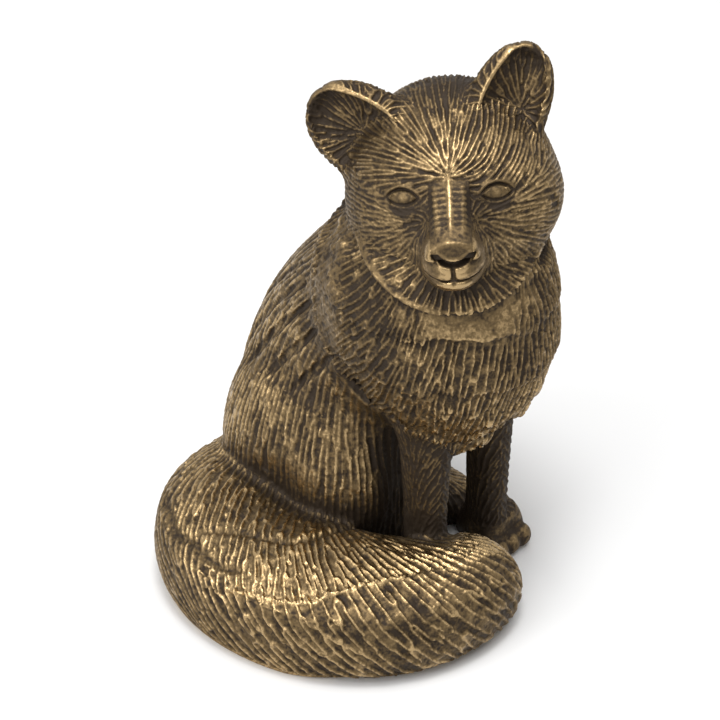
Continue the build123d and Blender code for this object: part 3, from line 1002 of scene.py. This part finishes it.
# Tone of each place, from tarnish, wear and painted light and shade: how much darker it is than plain worn
# brass, or brighter where below 0
# Painted shade: 1 where the surface looks into a deep crease or hollow, 0 in the open
painted_crease_shade = smoothstep(0.95, 0.4, openness)
bridge_line = on_bridge * bump(left + 0.5 * uneven, 0.24) * smoothstep(9.2, 7.0, bridge_run)
open_tail = is_tail & ~below_ridge
TONES = (
    # Strokes and pits are dark, creases and hollows get painted shade, and edges are rubbed
    (0.85, groove),
    (0.85, ~is_tail * painted_crease_shade),
    (0.35, is_tail * painted_crease_shade),
    (0.4, is_tail * smoothstep(0.7, 0.45, openness)),
    (-0.4, smoothstep(0.25, 1.1, bulge)),
    (-0.5, rough * skin),
    (0.35, rough * pits),
    (0.35, bare),
    # Head and ears
    (0.55, on_bridge),
    (-0.4, bridge_line),
    (0.1, on_nose),
    (-0.1, on_nose * smoothstep(-4.4, -4.9, up)),
    (0.2, furred * (left < 0.0) * smoothstep(6.0, 4.0, up)),
    (0.06, furred & (up > FOREHEAD_LOW)),
    # Painted shade on the crown of the head
    (0.28, is_head * smoothstep(13.0, 14.0, forehead_end)),
    (0.3, is_ear),
    (-0.22, ear_rim),
    # Mane, body and forelegs
    (-0.07, is_mane & ~is_beard),
    (-0.15, is_mane * smoothstep(46.0, 42.0, z)),
    (-0.3, chest_band),
    (-0.04, is_body),
    # Painted shade on the forelegs, which stand under the head and mane
    (0.4, is_foreleg),
    (0.1, is_foreleg * smoothstep(4.0, 8.0, z)),
    (0.15, is_foreleg * smoothstep(8.0, 4.0, z)),
    # Tail
    (-0.08, is_tail),
    # Painted light from above on the tail: lighter where its top faces up, and over its upper side towards
    # the tip
    (-0.12, open_tail * tail_top),
    (-0.2, open_tail * smoothstep(38.0, 44.0, tail_run)),
    (0.1, tail_streaks),
    (-0.35, crest),
)
patina_and_painted_light = sum(weight * where for weight, where in TONES)

# Eyes: a ringed pupil on the ball, and painted shade in the socket round it
eye_middle = np.hypot(eye_along + 0.3, eye_rise)
eye_tone = 0.62 - 0.2 * smoothstep(0.0, 0.25, eye_ball) + 0.5 * eye_rim - 0.2 * eye_lid
eye_tone = eye_tone + 0.22 * bump(eye_middle - 0.85, 0.25) - 0.2 * bump(eye_middle, 0.5)
patina_and_painted_light = patina_and_painted_light * (1.0 - bare_eye) + eye_tone * bare_eye
# Painted shade in the socket round the eye, most towards its inner corner
socket_oval = np.hypot((eye_along + 0.8) / 3.2, (eye_rise - 0.4) / 2.3)
socket = is_head * smoothstep(1.7, 1.1, socket_oval) * (eye_outward > -3.0)
patina_and_painted_light = patina_and_painted_light + 0.25 * socket * (1.0 - bare_eye)


def mix_colours(tree, factor, first, second):
    """A colour between two, which are fixed or come from other nodes."""
    mix = tree.nodes.new("ShaderNodeMix")
    mix.data_type = "RGBA"
    for socket, value in (("A", first), ("B", second)):
        target = [item for item in mix.inputs if item.name == socket and item.type == "RGBA"][0]
        if isinstance(value, tuple):
            target.default_value = value
        else:
            tree.links.new(value, target)
    tree.links.new(factor, mix.inputs["Factor"])
    return [item for item in mix.outputs if item.type == "RGBA"][0]


def ramp(tree, value, low, high, first=0.0, last=1.0):
    """A soft step from one value to another."""
    node = tree.nodes.new("ShaderNodeMapRange")
    node.interpolation_type = "SMOOTHSTEP"
    node.inputs["From Min"].default_value = low
    node.inputs["From Max"].default_value = high
    node.inputs["To Min"].default_value = first
    node.inputs["To Max"].default_value = last
    tree.links.new(value, node.inputs["Value"])
    return node.outputs["Result"]


def math_node(tree, operation, first, second):
    """One sum or other operation on two node values."""
    node = tree.nodes.new("ShaderNodeMath")
    node.operation = operation
    for socket, value in zip(node.inputs, (first, second)):
        tree.links.new(value, socket)
    return node.outputs["Value"]


def attribute(tree, name):
    """A value stored on the mesh."""
    node = tree.nodes.new("ShaderNodeAttribute")
    node.attribute_name = name
    return node.outputs["Fac"]


def noise(tree, scale, detail):
    """Fine noise fixed to the object."""
    coordinates = tree.nodes.new("ShaderNodeTexCoord")
    node = tree.nodes.new("ShaderNodeTexNoise")
    node.inputs["Scale"].default_value = scale
    node.inputs["Detail"].default_value = detail
    node.inputs["Roughness"].default_value = 0.6
    tree.links.new(coordinates.outputs["Object"], node.inputs["Vector"])
    return node.outputs["Fac"]


def brass():
    """Antique brass, bright where rubbed and dull and dark where tarnished, with painted light and shade
    mixed into the same tones.
    """
    material = bpy.data.materials.new("antique_brass")
    material.use_nodes = True
    tree = material.node_tree
    shader = tree.nodes["Principled BSDF"]
    speckle = ramp(tree, noise(tree, *SPECKLE), 0.3, 0.7, -SPECKLE_TONE, SPECKLE_TONE)
    cloud = ramp(tree, noise(tree, *CLOUD), 0.3, 0.7, -CLOUD_TONE, CLOUD_TONE)
    # Tarnish together with painted light and shade, from the mesh attribute, plus fine speckle and cloud
    # noise
    tarnish_and_painted_light = math_node(tree, "ADD", attribute(tree, "patina_and_painted_light"), speckle)
    tarnish_and_painted_light = math_node(tree, "ADD", tarnish_and_painted_light, cloud)
    worn = mix_colours(tree, ramp(tree, tarnish_and_painted_light, -0.2, 0.35), RIDGE_BRASS, WORN_BRASS)
    colour = mix_colours(tree, ramp(tree, tarnish_and_painted_light, 0.3, 1.0), worn, PATINA)
    tree.links.new(colour, shader.inputs["Base Color"])
    tree.links.new(ramp(tree, tarnish_and_painted_light, 0.3, 1.1, 1.0, 0.4), shader.inputs["Metallic"])
    tree.links.new(ramp(tree, tarnish_and_painted_light, -0.3, 0.8, 0.24, 0.6), shader.inputs["Roughness"])
    shader.inputs["Specular IOR Level"].default_value = 0.25
    relief = tree.nodes.new("ShaderNodeBump")
    relief.inputs["Strength"].default_value = 0.35
    relief.inputs["Distance"].default_value = 0.00015
    tree.links.new(noise(tree, *GRAIN), relief.inputs["Height"])
    tree.links.new(relief.outputs["Normal"], shader.inputs["Normal"])
    return material


# The finished castings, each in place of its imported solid
material = brass()
start = 0
for casting in castings:
    stop = start + len(casting.points)
    spots = casting.points - casting.normals * carve[start:stop, None]
    heights = casting.points[:, 2]
    spots[:, 2] = np.where(heights < 0.02, heights, np.maximum(spots[:, 2], 0.0))
    mesh = bpy.data.meshes.new(casting.node + "_casting")
    mesh.from_pydata(spots * MM, [], casting.quads)
    mesh.polygons.foreach_set("use_smooth", np.ones(len(mesh.polygons), bool))
    # The mesh attribute holds tarnish together with painted light and shade
    layer = mesh.attributes.new("patina_and_painted_light", "FLOAT", "POINT")
    layer.data.foreach_set("value", patina_and_painted_light[start:stop].astype(np.float32))
    mesh.materials.append(material)
    piece = bpy.data.objects.new(casting.node + "_casting", mesh)
    bpy.context.scene.collection.objects.link(piece)
    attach(piece, "root")
    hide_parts(casting.node)
    start = stop

# Floor
floor_mesh = bpy.data.meshes.new("floor")
corner_signs = ((-1, -1), (1, -1), (1, 1), (-1, 1))
floor_corners = [(along * FLOOR_REACH, aside * FLOOR_REACH, 0) for along, aside in corner_signs]
floor_mesh.from_pydata(floor_corners, [], [(0, 1, 2, 3)])
floor = bpy.data.objects.new("floor", floor_mesh)
bpy.context.scene.collection.objects.link(floor)
floor_material = bpy.data.materials.new("white_floor")
floor_material.use_nodes = True
floor_shader = floor_material.node_tree.nodes["Principled BSDF"]
floor_shader.inputs["Base Color"].default_value = FLOOR_WHITE
floor_shader.inputs["Roughness"].default_value = 0.8
floor_mesh.materials.append(floor_material)

# World: white where it is seen, dimmer as a light
world = bpy.data.worlds.new("studio")
bpy.context.scene.world = world
world.use_nodes = True
sky = world.node_tree
background = sky.nodes["Background"]
background.inputs["Color"].default_value = (1.0, 1.0, 1.0, 1.0)
paths = sky.nodes.new("ShaderNodeLightPath")
seen = math_node(sky, "MAXIMUM", paths.outputs["Is Camera Ray"], paths.outputs["Is Glossy Ray"])
seen = math_node(sky, "MAXIMUM", seen, paths.outputs["Is Transmission Ray"])
sky.links.new(ramp(sky, seen, 0.0, 1.0, WORLD_LIGHT, 1.0), background.inputs["Strength"])


def area_light(name, place, size, power):
    """A round lamp turned to the fox."""
    light = bpy.data.lights.new(name, "AREA")
    light.shape = "DISK"
    light.size = size
    light.energy = power
    lamp = bpy.data.objects.new(name, light)
    lamp.location = place
    lamp.rotation_mode = "QUATERNION"
    lamp.rotation_quaternion = (Vector(LAMP_AIM) - Vector(place)).to_track_quat("-Z", "Y")
    bpy.context.scene.collection.objects.link(lamp)


for name, (place, size, power) in LAMPS.items():
    area_light(name, place, size, power)

# Camera
azimuth, elevation = math.radians(CAMERA_AZIMUTH), math.radians(CAMERA_ELEVATION)
backwards = Vector(
    (math.sin(azimuth) * math.cos(elevation), -math.cos(azimuth) * math.cos(elevation), math.sin(elevation))
)
camera_data = bpy.data.cameras.new("camera")
camera_data.lens = CAMERA_LENS
camera_data.sensor_width = SENSOR_WIDTH
camera_data.clip_start = 0.01
camera_data.clip_end = 20.0
camera = bpy.data.objects.new("camera", camera_data)
camera.location = (Vector(LOOK_AT) + backwards * CAMERA_DISTANCE) * MM
camera.rotation_mode = "QUATERNION"
camera.rotation_quaternion = (-backwards).to_track_quat("-Z", "Y")
bpy.context.scene.collection.objects.link(camera)
bpy.context.scene.camera = camera
bpy.context.scene.view_settings.view_transform = "Standard"
